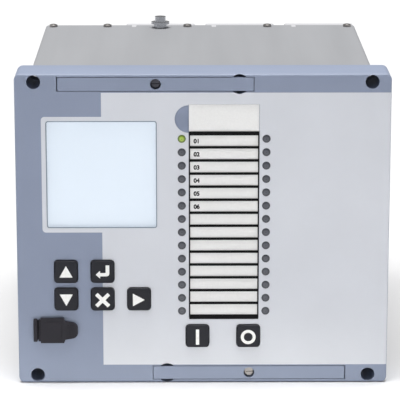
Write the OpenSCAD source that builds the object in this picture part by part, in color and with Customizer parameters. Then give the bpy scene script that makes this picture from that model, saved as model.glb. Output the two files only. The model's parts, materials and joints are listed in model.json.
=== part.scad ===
// Flush-mounting protection relay: a sheet-metal case with rear terminals and a withdrawable element.
// Millimetres, +Z up, front towards -Y. The origin is the centre of the four panel fixings,
// on the back face of the case flange, where it meets the panel.

/* [Fascia] */
// Width of the front fascia
fascia_w = 207.5; // [205:0.5:216]
// Height of the front fascia
fascia_h = 177; // [175:0.5:184]
// Depth of the fascia moulding
fascia_depth = 27; // [25:0.5:34]
// Corner radius of the fascia seen from the front
fascia_corner_r = 3.6; // [2:0.1:5]
// Radius along the fascia's front edges
fascia_edge_r = 1.2; // [0.6:0.1:2]
// Wall thickness of the fascia
fascia_wall = 3; // [2.6:0.1:4]
// Height of the rails along the fascia's top and bottom
rail_h = 12.4; // [12:0.1:13.5]

/* [Light panel] */
// Thickness of the overlay panel
overlay_t = 0.5; // [0.3:0.1:1]
// Distance of the overlay's left edge from the fascia's centre line
overlay_left = 56; // [50:0.5:62]
// Height of the dark strip above and below the overlay
strip_h = 10.4; // [9:0.1:12]

/* [Display] */
// Width of the display window
lcd_w = 61.5; // [50:0.5:66]
// Height of the display window
lcd_h = 61; // [40:0.5:64]
// Distance of the window's centre from the fascia's centre line
lcd_offset = 56.1; // [54:0.1:58]
// Height of the window's centre above the fascia's centre
lcd_z = 31.8; // [30:0.1:34]
// Width of the light ring around the window
lcd_ring = 2.35; // [1.8:0.05:3]
// Thickness of the window
glass_t = 1.5; // [1:0.1:2]
// Overlap of the window under the ring
glass_lip = 1.5; // [0.8:0.1:1.7]

/* [Indicators] */
// Diameter of an indicator lens
led_d = 4.5; // [3:0.1:5.5]
// Distance between indicator rows
led_pitch = 7.6; // [7:0.1:8]
// Number of indicator rows
led_rows = 14; // [8:1:14]
// Height of the first row above the fascia's centre
led_top_z = 52.2; // [50:0.1:53]
// Distance between the two indicator columns
led_span = 46.8; // [46:0.1:52]

/* [Label] */
// Centre of the label columns, right of the fascia's centre line
label_x = 11.7; // [10:0.1:14]
// Width of the label pocket
label_w = 39; // [34:0.5:40]
// Top of the label card
card_top_z = 71.5; // [68:0.5:74]
// Top of the black label frame
frame_top_z = 56.3; // [55.6:0.1:57]
// Height of the frame's top bar
frame_bar = 2.2; // [1:0.1:2.8]
// Thickness of the frame's separators
frame_line = 1.4; // [0.6:0.1:1.8]
// Distance between label rows
label_pitch = 7.45; // [6.8:0.05:7.8]
// Thickness of the label card
card_t = 0.4; // [0.3:0.1:0.9]
// Thickness of the label frame
frame_t = 0.4; // [0.3:0.1:0.8]
// Radius of the thumb scoop beside the card
scoop_r = 7.8; // [6:0.1:8.5]
// Depth of the thumb scoop
scoop_depth = 2; // [1.2:0.1:2.2]

/* [Keys] */
// Width and height of a key
key_w = 12.9; // [10:0.1:13.5]
// Corner radius of a key
key_corner_r = 2; // [1:0.1:3]
// Height of a key above the face
key_proud = 1.5; // [1.2:0.1:2.5]
// Travel of a key
key_travel = 1; // [0.6:0.1:1.1]
// Distance between navigation key columns
nav_dx = 20.35; // [18:0.05:22]
// Distance between navigation key rows
nav_dz = 16; // [15.8:0.1:18]
// Height of the upper navigation keys above the fascia's bottom edge
nav_up = 65; // [64.5:0.1:68.5]
// Distance between the close and open keys
control_dx = 28.5; // [20:0.5:36]
// Height of the close and open keys
control_z = -61.1; // [-63:0.1:-60]

/* [USB port] */
// Distance of the port left of the fascia's centre line
usb_offset = 84.15; // [82:0.05:85]
// Height of the port's centre above the fascia's bottom edge
usb_up = 31; // [28.5:0.1:34.5]
// Width of the cover flap
flap_w = 13.8; // [13.4:0.1:15]
// Height of the cover flap
flap_h = 14.5; // [13:0.1:16]
// Thickness of the cover flap
flap_t = 1.7; // [1.5:0.1:2.2]
// Length of the pull tab
tab_len = 7.1; // [5:0.1:8]
// Height of the pull tab where it leaves the flap
tab_h = 10.6; // [9:0.1:11.5]

/* [Handles] */
// Length of a handle bar
handle_len = 107.9; // [90:0.1:120]
// Height of a handle bar
handle_h = 7.4; // [6.4:0.1:7.8]
// Thickness of a handle bar
handle_t = 8; // [7:0.1:10]
// Distance of the bar's middle from the fascia's top edge
handle_inset = 5.65; // [5.4:0.05:6]
// Sideways offset of the bar's middle from the fascia's centre line
handle_offset = 26.05; // [20:0.05:30]
// Diameter of a handle pin
pin_d = 2.4; // [2:0.1:3]
// Distance of the pin from the end of the bar
pin_inset = 4; // [3.5:0.1:6]
// Distance of the pin behind the face
pin_back = 4.3; // [4.3:0.1:5]
// Diameter of the finger pocket
finger_d = 11; // [9:0.1:11.4]
// Distance of the finger pocket from the free end
finger_inset = 7.8; // [6:0.1:12]
// Diameter of the hole that shows the release screw
peep_d = 6; // [5.9:0.1:7]

/* [Panel fixing] */
// Distance of the panel fixings from the fascia's side edges
fixing_side = 10.65; // [9.8:0.05:12.5]
// Distance of the panel fixings from the fascia's top and bottom edges
fixing_edge = 4.5; // [4.3:0.05:5.5]
// Diameter of a fixing hole in the flange
fixing_d = 4.2; // [3.6:0.1:5]
// Diameter of an access hole through the fascia
access_d = 7.8; // [7:0.1:8]

/* [Case] */
// Distance of the case's sides from the fascia's side edges
case_side = 4.75; // [3:0.05:6.75]
// Distance of the case's top and bottom from the fascia's edges
case_drop = 10.5; // [10.5:0.1:13.5]
// Depth of the case behind the panel
case_depth = 195; // [180:1:240]
// Thickness of the case sheet
sheet_t = 1.2; // [1:0.1:1.5]
// Radius of the long folds of the case
fold_r = 2.2; // [1.6:0.1:3]
// Sheet left beyond the fixing holes at the edge of a flange
flange_rim = 4; // [3:0.1:5]

/* [Terminals] */
// Width of a terminal block
block_w = 44.5; // [40:0.5:46]
// Depth of a terminal block behind the case
block_depth = 16; // [13:0.5:24]
// Distance between terminal rows
terminal_pitch = 10.2; // [9.6:0.1:10.4]
// Number of terminal rows
terminal_rows = 14; // [8:1:14]
// Height of the barriers between terminals
barrier_h = 3.2; // [2.8:0.1:3.8]
// Diameter of a terminal screw head
terminal_screw_d = 7; // [5:0.1:7.6]

/* [Element] */
// Thickness of a circuit board
board_t = 1.6; // [1:0.1:2]
// Distance of the display board behind the front wall
display_standoff = 9; // [8.6:0.1:10]
// Thickness of the chassis plates
chassis_t = 1; // [0.8:0.1:1.4]
// Space between a chassis side plate and the case wall
chassis_gap = 1.6; // [1.4:0.1:2.5]
// Gap between the fascia and the case flange
seat_gap = 0.3; // [0.2:0.1:0.6]

/* [Hidden] */
$fn = 48;

// Clearances: a moving piece beside its neighbour, a shaft in its hole, and a piece let into a pocket
run_gap = 0.35;
shaft_gap = 0.05;
let_gap = 0.1;
// Overshoot of a cut past the surface it opens
past = 1;

// Planes along the depth, from the panel's face at 0
fascia_back = -sheet_t - seat_gap;
face_y = fascia_back - fascia_depth;
wall_back = face_y + fascia_wall;
display_y = wall_back + display_standoff;
plate_inset = 4.5;
plate_y = fascia_back - plate_inset;
plate_back = plate_y + chassis_t;

// Hollow of the fascia
cavity_w = fascia_w - 2 * fascia_wall;
cavity_h = fascia_h - 2 * rail_h;
cavity_r = 2;
overlay_h = fascia_h - 2 * strip_h;
ring_r = 2;
lcd_frame = 2.5;
lcd_corner_r = 1;

// Panel fixings
fixing_w = fascia_w - 2 * fixing_side;
fixing_h = fascia_h - 2 * fixing_edge;
// The fascia's corners around the access holes are solids of their own, so that the holes stay open
lug_wall = 3.2;
lug_w = fixing_side + access_d / 2 + lug_wall;

// Handle geometry, for the top bar; the bottom one is the same, turned half a turn
handle_z = fascia_h / 2 - handle_inset;
handle_x0 = -handle_offset - handle_len / 2;
handle_x1 = handle_x0 + handle_len;
pin_x = handle_x0 + pin_inset;
pin_y = face_y + pin_back;
swing_r = norm([pin_inset, pin_back]);
edge_break = 0.2;
groove_depth = handle_t + run_gap;
groove_h = handle_h + 2 * run_gap;
finger_x = handle_x1 - finger_inset;
finger_depth = 9;
pin_reach = 1.2;
grip_wall = 1.5;

// Release screws and the nuts they turn into
screw_d = 3;
release_head_d = 4.8;
release_head_h = 5.8;
clinch_d = 6;
clinch_h = 3.5;
slot_w = 0.9;
slot_depth = 1;

// Label pocket
card_seat = face_y + let_gap + frame_t + card_t;
label_rows = led_rows;
frame_h = frame_bar + label_rows * label_pitch + (frame_bar - frame_line) / 2;
frame_bottom_z = frame_top_z - frame_h;
label_left = label_x - label_w / 2;
frame_side = 0.6;
scoop_inset = 0.4;
scoop_z = card_top_z - scoop_r - scoop_inset;
scoop_ball_r = (scoop_r * scoop_r + scoop_depth * scoop_depth) / (2 * scoop_depth);

// Indicator lenses
lens_proud = 0.3;
lens_collar = 0.7;
led_chip = [3.2, 1.8, 2.8];

// Keys: left to right and top to bottom
nav_x = -lcd_offset;
nav_z = nav_up - fascia_h / 2;
control_shift = 0.45;
control_x = label_x - control_shift;
key_edge_r = 0.8;
key_lip = 1.1;
key_lip_t = 1.2;
key_lip_w = key_w + 2 * key_lip;
stem_d = 4;
switch_w = 6.2;
switch_h = 4.3;
plunger_d = 3.4;
plunger_h = 1.2;
KEYS = [
    [nav_x - nav_dx, nav_z],
    [nav_x, nav_z],
    [nav_x - nav_dx, nav_z - nav_dz],
    [nav_x, nav_z - nav_dz],
    [nav_x + nav_dx, nav_z - nav_dz],
    [control_x - control_dx / 2, control_z],
    [control_x + control_dx / 2, control_z],
];

// USB port and its cover
usb_x = -usb_offset;
usb_z = usb_up - fascia_h / 2;
usb_hole = [12, 11.4];
usb_shell = [11.6, 10.8];
usb_mouth = [8.6, 7.9];
usb_mouth_cut = 1.8;
usb_tongue = [5.6, 3.2];
plug_size = [10.4, 9.8];
plug_depth = 2.4;
plug_r = 1;
flap_cut = 0.7;
field_inset = 2.2;
hinge_r = 0.75;
hinge_gap = 0.45;
hinge_x = usb_x - flap_w / 2 - hinge_gap;
hinge_inset = 1;
web_step = 0.5;
web_t = flap_t - 0.6;
flap_back = face_y - run_gap;
hinge_y = flap_back - hinge_r;
anchor_w = 2.2;
anchor_h = flap_h - 1.4;
anchor_gap = 0.65;
anchor_x = hinge_x - hinge_r - anchor_gap - anchor_w;
anchor_corner_r = 0.6;
anchor_edge_r = 0.5;
peg_d = 1.6;
tab_tip_r = 3.4;
tab_tip_rise = 1.2;
tab_tip_x = tab_len - tab_tip_r;
// Where the tab's straight flank meets its round tip
tab_root = [-tab_tip_x, tab_h / 2 - tab_tip_rise];
tab_turn = atan2(tab_root.y, tab_root.x) - acos(tab_tip_r / norm(tab_root));
tab_flank = [tab_tip_x + tab_tip_r * cos(tab_turn), tab_tip_rise + tab_tip_r * sin(tab_turn)];
tab_rib = 0.4;
tab_rib_t = 0.7;
tab_rib_pitch = 1.5;
tab_rib_inset = 0.7;
tab_rib_shift = 0.5;

// Bosses that carry the display board and the chassis plate
boss_side = 9.75;
boss_edge = 5.6;
boss_x = cavity_w / 2 - boss_side;
boss_z = cavity_h / 2 - boss_edge;
boss_d = 9;
boss_neck_d = 6.6;

// Case
case_w = fascia_w - 2 * case_side;
case_h = fascia_h - 2 * case_drop;
inner_w = case_w - 2 * sheet_t;
inner_h = case_h - 2 * sheet_t;
bend_r = 0.8;
flange_end = 4.5;
flange_w = fixing_w + 2 * flange_end;
flange_top = max(fixing_h / 2, handle_z) + flange_rim;
rear_lip = 14;
rear_screw_inset = 5.5;
rear_screw_y = case_depth - rear_screw_inset;
plate_w = inner_w - 2 * let_gap;
plate_h = inner_h - 2 * let_gap;

// Bays across the rear: one for communications and three for terminal blocks
bays = 4;
bay_margin = 0.3;
bay_pitch = (case_w - block_w - 2 * bay_margin) / (bays - 1);
function bay_x(i) = (i - (bays - 1) / 2) * bay_pitch;
cut_margin = 3.25;
bay_land = 8.5;
block_play = 0.3;
block_h = inner_h - 2 * block_play;
bay_cut = [block_w - 2 * cut_margin, block_h - 2 * bay_land];
block_corner_r = 1.5;
bay_inner = bay_cut - 4 * run_gap * [1, 1];
block_inner = 21;
block_edge_r = 1;
spine_w = 13;
terminal_z0 = (terminal_rows - 1) * terminal_pitch / 2;
terminal_x = (block_w + spine_w) / 4;
barrier_t = 1.8;
washer_t = 0.9;
washer_over = 0.3;
terminal_head_h = 2.2;
key_rib = [2.8, 6.5, 2.8];
key_rib_x = -16.8;
key_rib_z = case_h / 2 - key_rib.z - let_gap;

// Screws along the rear edge of the case: one beside each bay and one at each end
edge_inset = 5.3;
REAR_SCREW_X = concat(
    [-(case_w / 2 - edge_inset)],
    [for (i = [1 : bays]) (case_w / 2 - edge_inset) - (bays - i) * bay_pitch]
);
pan_d = 5.2;
pan_h = 1.9;
cover_screw_inset = 4.2;
cover_screw_z = block_h / 2 - cover_screw_inset;

// Earth screw on the case top
earth_x = bay_x(1);
earth_inset = 9;
earth_y = case_depth - earth_inset;
earth_d = 4;
earth_nut_d = 8;
earth_nut_h = 2.6;
earth_washer_d = 11.6;
earth_washer_t = 1.2;
earth_head_d = 7;
earth_head_h = 3.4;
earth_reach = 4.2;
earth_slot_depth = 1.4;

// Communications bay
comms_t = 2;
comms_past = case_depth + 2 * comms_t;
jack_size = [16, 22, 13.6];
jack_mouth = [12, 15, 8.6];
jack_out = 6;
jack_pitch = 24;
jack_z = 46;
jack_latch = [6.4, 7, 2];
serial_size = [22, 20, 11];
serial_z = -8;
serial_ways = 4;
serial_pitch = 4.8;
serial_hole = [3.2, 8, 4.2];
serial_hole_drop = 1.5;

// Chassis of the withdrawable element
side_out = inner_w / 2 - chassis_gap;
side_in = side_out - chassis_t;
slide_rail = [5.6, 150, 3];
slide_rail_y = 10;
chassis_half_h = inner_h / 2 - slide_rail.z - run_gap;
board_setback = 37;
board_end = case_depth - board_setback;
chassis_over = 8;
chassis_end = board_end + chassis_over;
cross_rail = [8, 7];
cross_rail_front = 14;
cross_rail_back = 16;
CROSS_RAIL_Y = [cross_rail_front, board_end - cross_rail_back];
guide_depth = 3;
board_gap = 0.5;
board_front = plate_back + board_gap;
board_half_h = chassis_half_h - cross_rail.y + guide_depth - let_gap;
rivet_d = 3;
rivet_head_d = 5;
rivet_head_h = 0.9;
rivet_len = 8;
header = [6, 50];
header_over = 12;
plug_margin = 6;
plug = [10, bay_cut.y - 2 * plug_margin];
plug_over = 12;
plug_gap = 0.5;
plug_end = case_depth - block_inner - plug_gap;

// Boards: components on the two left boards face right, on the two right boards left
function board_dir(i) = i < bays / 2 ? 1 : -1;
function board_face(i) = bay_x(i) + board_dir(i) * board_t / 2;

// Components: sizes off the board, along the depth and up, and grids with their first depth and pitches
core = [10, 28, 24];
core_leg = 8;
core_yoke = 5;
coil_x = 18;
coil_wall = 4.2;
coil_play = 0.1;
core_y = 45;
core_pitch = [40, 30];
power_core_y = 105;
power_core_z = 28;
TRANSFORMERS = concat(
    [for (i = [0, 1], j = [-1.5 : 1 : 1.5]) [3, core_y + i * core_pitch.x, j * core_pitch.y]],
    [[0, power_core_y, power_core_z]]
);
relay = [12.5, 29, 13];
relay_y = 40;
relay_pitch = [39, 25];
cap_d = 18;
cap_len = 24;
cap_y = 38;
cap_z = -46;
cap_pitch = [24, 23];
processor = [2.6, 30, 30];
memory = [1.8, 20, 14];
chip_y = 60;
processor_z = 20;
memory_z = -50;
memory_pitch = 25;
driver = [1.6, 14, 20];
driver_y = 110;
driver_pitch = 30;

// Extrudes an outline drawn in X and Z from depth y0 back to y1
module slab(y0, y1) {
    translate([0, y1, 0]) rotate([90, 0, 0]) linear_extrude(y1 - y0) children();
}

// A round rod along the depth
module rod(d, y0, y1) {
    translate([0, y1, 0]) rotate([90, 0, 0]) cylinder(d = d, h = y1 - y0);
}

module at(x, z) {
    translate([x, 0, z]) children();
}

// A block from y0 to y1, centred on the Y axis
module block(w, h, y0, y1) {
    translate([-w / 2, y0, -h / 2]) cube([w, y1 - y0, h]);
}

module rrect(w, h, r) {
    square([w - 2 * r, h], center = true);
    square([w, h - 2 * r], center = true);
    for (sx = [-1, 1], sz = [-1, 1])
        translate([sx * (w / 2 - r), sz * (h / 2 - r)]) circle(r);
}

// A rectangle with round corners on its near end only
module blunt(depth, h, r) {
    translate([r, -h / 2]) square([depth - r, h]);
    translate([0, -h / 2 + r]) square([depth, h - 2 * r]);
    for (s = [-1, 1])
        translate([r, s * (h / 2 - r)]) circle(r);
}

// A moulded block with round corners and round edges along its front
module soft_block(w, h, corner_r, edge_r, y0, y1) {
    intersection() {
        slab(y0, y1) rrect(w, h, corner_r);
        rotate([90, 0, 90]) linear_extrude(w + 2 * past, center = true)
            translate([y0, 0]) blunt(y1 - y0 + past, h, edge_r);
        linear_extrude(h + 2 * past, center = true)
            translate([0, y0]) rotate(90) blunt(y1 - y0 + past, w, edge_r);
    }
}

// The top handle's place, then the bottom one's
module both_rails() {
    children();
    rotate([0, 180, 0]) children();
}

module each_corner(x, z) {
    for (sx = [-1, 1], sz = [-1, 1])
        at(sx * x, sz * z) children();
}

module each_led(first = 0) {
    for (side = [-1, 1], i = [side < 0 ? first : 0 : led_rows - 1])
        at(label_x + side * led_span / 2, led_top_z - i * led_pitch) children();
}

module each_key() {
    for (k = KEYS)
        at(k[0], k[1]) children();
}

// A turned piece about the Y axis: the outline is drawn as radius and depth
module turned() {
    rotate([-90, 0, 0]) rotate_extrude() children();
}

// A pan-head screw along +Y: the head's seat is at the origin and the head points to +Y
module pan_screw(d, len, head_d, head_h) {
    difference() {
        turned() {
            translate([0, -len]) square([d / 2, len + head_h / 2]);
            intersection() {
                square([head_d / 2, head_h]);
                translate([0, head_h - head_d]) circle(head_d);
            }
        }
        translate([-head_d, head_h - slot_depth, -slot_w / 2]) cube([2 * head_d, slot_depth + past, slot_w]);
    }
}

// Fascia

module fascia_form() {
    soft_block(fascia_w, fascia_h, fascia_corner_r, fascia_edge_r, face_y, fascia_back);
}

// Outline of the light panel with the ring around the display
module overlay_field() {
    translate([-overlay_left, -overlay_h / 2]) square([overlay_left + fascia_w / 2 + past, overlay_h]);
    translate([-lcd_offset, lcd_z]) rrect(lcd_w + 2 * lcd_ring, lcd_h + 2 * lcd_ring, ring_r);
}

module label_field(gap) {
    translate([label_left - gap, frame_bottom_z - gap])
        square([label_w + 2 * gap, card_top_z - frame_bottom_z + 2 * gap]);
}

module key_hole() {
    rrect(key_w + 2 * run_gap, key_w + 2 * run_gap, key_corner_r + run_gap);
}

module handle_groove() {
    translate([handle_x0 - run_gap, face_y - past, handle_z - groove_h / 2])
        cube([handle_len + 2 * run_gap, groove_depth + past, groove_h]);
    translate([pin_x, pin_y, handle_z - groove_h / 2])
        cylinder(r = swing_r + run_gap, h = groove_h);
    translate([pin_x, pin_y, cavity_h / 2 - past])
        cylinder(d = pin_d, h = handle_z + groove_h / 2 + pin_reach - cavity_h / 2 + past);
    at(finger_x, handle_z) rod(finger_d, face_y - past, face_y + finger_depth);
    at(-handle_offset, handle_z) rod(screw_d + 2 * run_gap, face_y, fascia_back + past);
    at(-handle_offset, handle_z)
        rod(clinch_d + 4 * run_gap, fascia_back - clinch_h - run_gap, fascia_back + past);
}

module thumb_scoop() {
    intersection() {
        translate([label_left, face_y + scoop_depth - scoop_ball_r, scoop_z]) sphere(r = scoop_ball_r);
        translate([label_left - 2 * scoop_r, face_y - past, scoop_z - 2 * scoop_r])
            cube([2 * scoop_r + let_gap, 2 * past + scoop_depth, 4 * scoop_r]);
    }
}

module fascia() {
    color("#8993ad")
    difference() {
        union() {
            difference() {
                fascia_form();
                slab(wall_back, fascia_back + past) rrect(cavity_w, cavity_h, cavity_r);
            }
            each_corner(boss_x, boss_z) rod(boss_d, wall_back - past, display_y);
            each_corner(boss_x, boss_z) rod(boss_neck_d, wall_back - past, plate_y);
        }
        slab(face_y - past, face_y + overlay_t) overlay_field();
        slab(face_y - past, card_seat) label_field(0);
        thumb_scoop();
        at(-lcd_offset, lcd_z) slab(face_y, face_y + overlay_t + glass_t)
            square([lcd_w + 2 * glass_lip, lcd_h + 2 * glass_lip], center = true);
        at(-lcd_offset, lcd_z) slab(face_y, wall_back + past) square([lcd_w, lcd_h], center = true);
        each_led() rod(led_d + 2 * shaft_gap, face_y - past, wall_back + past);
        each_key() slab(face_y - past, wall_back + past) key_hole();
        each_key() slab(wall_back, display_y) square(key_lip_w + 2 * run_gap, center = true);
        at(usb_x, usb_z) slab(face_y - past, wall_back + past) square(usb_hole, center = true);
        for (sz = [-1, 1])
            at(anchor_x + anchor_w / 2, usb_z + sz * anchor_h / 3)
                rod(peg_d, face_y - past, wall_back + past);
        corner_rooms();
        each_corner(boss_x, boss_z) rod(screw_d, display_y, plate_y + past);
        both_rails() handle_groove();
    }
}

// Blocks about the fascia's four corners, as high as the strips beside the overlay
module corner_rooms() {
    each_corner(fascia_w / 2, fascia_h / 2)
        block(2 * lug_w, 2 * strip_h, face_y - past, fascia_back + past);
}

module fascia_corners() {
    color("#8993ad")
    difference() {
        intersection() {
            fascia_form();
            corner_rooms();
        }
        each_corner(fixing_w / 2, fixing_h / 2) rod(access_d, face_y - past, fascia_back + past);
    }
}

module fascia_overlay() {
    color("#cfd2da")
    difference() {
        intersection() {
            fascia_form();
            slab(face_y, face_y + overlay_t) overlay_field();
        }
        slab(face_y - past, face_y + past) label_field(let_gap);
        thumb_scoop_hole();
        at(-lcd_offset, lcd_z) slab(face_y - past, face_y + past) square([lcd_w, lcd_h], center = true);
        each_led() rod(led_d + 2 * shaft_gap, face_y - past, face_y + past);
        each_key() slab(face_y - past, face_y + past) key_hole();
        both_rails() at(finger_x, handle_z) rod(finger_d, face_y - past, face_y + past);
        both_rails() handle_groove();
    }
}

// Half-round opening in the overlay over the thumb scoop
module thumb_scoop_hole() {
    intersection() {
        at(label_left, scoop_z) rod(2 * scoop_r, face_y - past, face_y + past);
        translate([label_left - 2 * scoop_r, face_y - 2 * past, scoop_z - 2 * scoop_r])
            cube([2 * scoop_r, 4 * past, 4 * scoop_r]);
    }
}

module lcd_window() {
    color("#e4eff8", 0.4)
    at(-lcd_offset, lcd_z) slab(face_y + overlay_t, face_y + overlay_t + glass_t)
        square([lcd_w + 2 * (glass_lip - let_gap), lcd_h + 2 * (glass_lip - let_gap)], center = true);
}

module lcd_panel() {
    color("#dfeefa")
    at(-lcd_offset, lcd_z) slab(wall_back, display_y)
        rrect(lcd_w + 2 * lcd_frame, lcd_h + 2 * lcd_frame, lcd_corner_r);
}

module label_card() {
    color("#e6e6e6")
    slab(card_seat - card_t, card_seat) label_field(-let_gap);
}

module label_frame() {
    cell_w = label_w - 2 * (let_gap + frame_side);
    cell_h = label_pitch - frame_line;
    color("#17171a")
    slab(card_seat - card_t - frame_t, card_seat - card_t) difference() {
        translate([label_left + let_gap, frame_bottom_z + let_gap])
            square([label_w - 2 * let_gap, frame_h - let_gap]);
        for (i = [0 : label_rows - 1])
            translate([label_x - cell_w / 2, frame_top_z - frame_bar - i * label_pitch - cell_h])
                square([cell_w, cell_h]);
    }
}

// A light pipe with a domed front and a collar behind the wall
module led_lens() {
    dome_r = (led_d * led_d / 4 + lens_proud * lens_proud) / (2 * lens_proud);
    tip = face_y - lens_proud;
    turned() {
        intersection() {
            translate([0, tip]) square([led_d / 2, display_y - led_chip.y - let_gap - tip]);
            translate([0, tip + dome_r]) circle(dome_r);
        }
        translate([0, wall_back]) square([led_d / 2 + lens_collar, lens_collar]);
    }
}

module led_lenses() {
    color("#5c606b") each_led(first = 1) led_lens();
}

module led_lens_lit() {
    color("#9ab83c") at(label_x - led_span / 2, led_top_z) led_lens();
}

module indicator_leds() {
    color("#f2efe0")
    each_led() block(led_chip.x, led_chip.z, display_y - led_chip.y, display_y);
}

module display_board() {
    w = cavity_w - 4 * run_gap;
    h = cavity_h - 4 * run_gap;
    color("#2f6b3f")
    difference() {
        slab(display_y, display_y + board_t) rrect(w, h, cavity_r);
        each_corner(boss_x, boss_z)
            rod(boss_neck_d + 2 * let_gap, display_y - past, display_y + board_t + past);
    }
}

// Keys and their switches

module key(i) {
    stem_end = display_y - switch_h - key_travel - run_gap;
    lip_y = wall_back + let_gap;
    color("#26272b")
    at(KEYS[i][0], KEYS[i][1]) {
        soft_block(key_w, key_w, key_corner_r, key_edge_r, face_y - key_proud, lip_y + key_lip_t / 2);
        slab(lip_y, lip_y + key_lip_t) rrect(key_lip_w, key_lip_w, key_corner_r);
        rod(stem_d, lip_y, stem_end);
    }
}

module key_up() {
    key(0);
}

module key_enter() {
    key(1);
}

module key_down() {
    key(2);
}

module key_cancel() {
    key(3);
}

module key_right() {
    key(4);
}

module key_close() {
    key(5);
}

module key_open() {
    key(6);
}

module tact_switches() {
    body_h = switch_h - plunger_h;
    color("#3a3a3d")
    each_key() {
        block(switch_w, switch_w, display_y - body_h, display_y);
        rod(plunger_d, display_y - switch_h, display_y - body_h / 2);
    }
}

// USB port

module usb_socket() {
    color("#c9ccd0")
    at(usb_x, usb_z) difference() {
        block(usb_shell.x, usb_shell.y, wall_back, display_y);
        slab(wall_back - past, display_y - past) usb_mouth_outline();
    }
}

// Mouth of the socket: a square with its two upper corners cut
module usb_mouth_outline() {
    w = usb_mouth.x / 2;
    h = usb_mouth.y / 2;
    cut = usb_mouth_cut;
    polygon([[-w, -h], [w, -h], [w, h - cut], [w - cut, h], [cut - w, h], [-w, h - cut]]);
}

module usb_insulator() {
    color("#1c1c1f")
    at(usb_x, usb_z) block(usb_tongue.x, usb_tongue.y, wall_back + past, display_y - past);
}

module usb_cover_anchor() {
    color("#34333a")
    at(anchor_x + anchor_w / 2, usb_z) {
        soft_block(anchor_w, anchor_h, anchor_corner_r, anchor_edge_r, flap_back - flap_t, face_y);
        for (sz = [-1, 1])
            at(0, sz * anchor_h / 3) rod(peg_d - 2 * shaft_gap, face_y - past, wall_back);
    }
}

// Pull tab, drawn from the flap's edge: straight flanks run into a blunt round tip
module tab_outline() {
    polygon([[0, -tab_h / 2], [tab_flank.x, -tab_flank.y], [tab_flank.x, tab_flank.y], [0, tab_h / 2]]);
    translate([0, -tab_tip_rise]) square([tab_len, 2 * tab_tip_rise]);
    for (s = [-1, 1])
        translate([tab_tip_x, s * tab_tip_rise]) circle(tab_tip_r);
}

module flap_outline() {
    w = flap_w / 2;
    h = flap_h / 2;
    cut = flap_cut;
    polygon([[-w, -h], [w - cut, -h], [w, -tab_h / 2], [w, tab_h / 2], [w - cut, h], [-w, h]]);
    translate([w, 0]) tab_outline();
}

module usb_cover() {
    rib_x = flap_w / 2 + tab_tip_x - tab_rib_shift;
    rib_h = 2 * (tab_tip_r + tab_tip_rise) - 4 * tab_rib_inset;
    rib_front = flap_back - flap_t - tab_rib;
    bead_h = flap_h - 2 * hinge_inset;
    color("#37363d")
    union() {
        at(usb_x, usb_z) {
            slab(flap_back - flap_t, flap_back) flap_outline();
            slab(flap_back - past / 2, face_y + plug_depth) rrect(plug_size.x, plug_size.y, plug_r);
            for (i = [-1 : 1])
                at(rib_x + i * tab_rib_pitch, 0)
                    block(tab_rib_t, rib_h, rib_front, flap_back - flap_t / 2);
            block(flap_w - 2 * field_inset, flap_h - 2 * field_inset, rib_front, flap_back - flap_t / 2);
        }
        translate([hinge_x, hinge_y, usb_z - bead_h / 2]) cylinder(r = hinge_r, h = bead_h);
        translate([hinge_x, flap_back - flap_t + web_step, usb_z - bead_h / 2]) cube([past, web_t, bead_h]);
    }
}

// Handles

// Plan of the top bar: square at the free end, round about its pin at the other
module handle_plan() {
    translate([pin_x, face_y]) square([handle_x1 - pin_x, handle_t]);
    intersection() {
        translate([handle_x0, face_y]) square([2 * pin_inset, handle_t]);
        translate([pin_x, pin_y]) circle(r = swing_r - edge_break);
    }
}

// Grip channel along the back of the bar, from x0 to x1
module grip_channel(x0, x1) {
    h = handle_h - 2 * grip_wall;
    translate([x0, face_y + 2 * grip_wall, handle_z - h / 2]) cube([x1 - x0, handle_t, h]);
}

module handle() {
    hub = peep_d / 2 + 2 * grip_wall;
    color("#8993ad")
    difference() {
        translate([0, 0, handle_z - handle_h / 2]) linear_extrude(handle_h) handle_plan();
        translate([pin_x, pin_y, handle_z - handle_h]) cylinder(d = pin_d + 2 * shaft_gap, h = 2 * handle_h);
        at(-handle_offset, handle_z) rod(peep_d, face_y - past, face_y + handle_t + past);
        grip_channel(pin_x + 2 * pin_inset, -handle_offset - hub);
        grip_channel(-handle_offset + hub, handle_x1 - 2 * grip_wall);
    }
}

module handle_top() {
    handle();
}

module handle_bottom() {
    rotate([0, 180, 0]) handle();
}

module handle_pins() {
    z0 = handle_z - groove_h / 2 - pin_reach;
    color("#b9bcc2")
    both_rails() translate([pin_x, pin_y, z0]) cylinder(d = pin_d, h = groove_h + 2 * pin_reach);
}

module release_screw() {
    seat = face_y + groove_depth;
    color("#c4c7cc")
    at(-handle_offset, handle_z) {
        rod(screw_d, seat - past, -let_gap);
        difference() {
            rod(release_head_d, seat - release_head_h, seat);
            translate([-release_head_d, seat - release_head_h - past, -slot_w / 2])
                cube([2 * release_head_d, slot_depth + past, slot_w]);
        }
    }
}

module release_screw_top() {
    release_screw();
}

module release_screw_bottom() {
    rotate([0, 180, 0]) release_screw();
}

module clinch_nuts() {
    color("#b9bcc2")
    both_rails() at(-handle_offset, handle_z) difference() {
        rod(clinch_d, -sheet_t - clinch_h, -sheet_t);
        rod(screw_d + 2 * shaft_gap, -sheet_t - clinch_h - past, past);
    }
}

// Case

// Fold from the case wall at z up to a flange that reaches to top, drawn in Y and Z
module fold_outline(z, top) {
    translate([-sheet_t, z + bend_r]) square([sheet_t, top - z - bend_r]);
    translate([bend_r, z - sheet_t]) square([2 * bend_r, sheet_t]);
    intersection() {
        translate([bend_r, z + bend_r]) difference() {
            circle(bend_r + sheet_t);
            circle(bend_r);
        }
        translate([-sheet_t, z - sheet_t]) square(sheet_t + bend_r);
    }
}

// Side walls, which run forward to the front of the flanges
module case_sides() {
    for (s = [-1, 1])
        at(s * (case_w - sheet_t) / 2, 0) block(sheet_t, case_h - 2 * fold_r, -sheet_t, bend_r + past);
}

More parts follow.
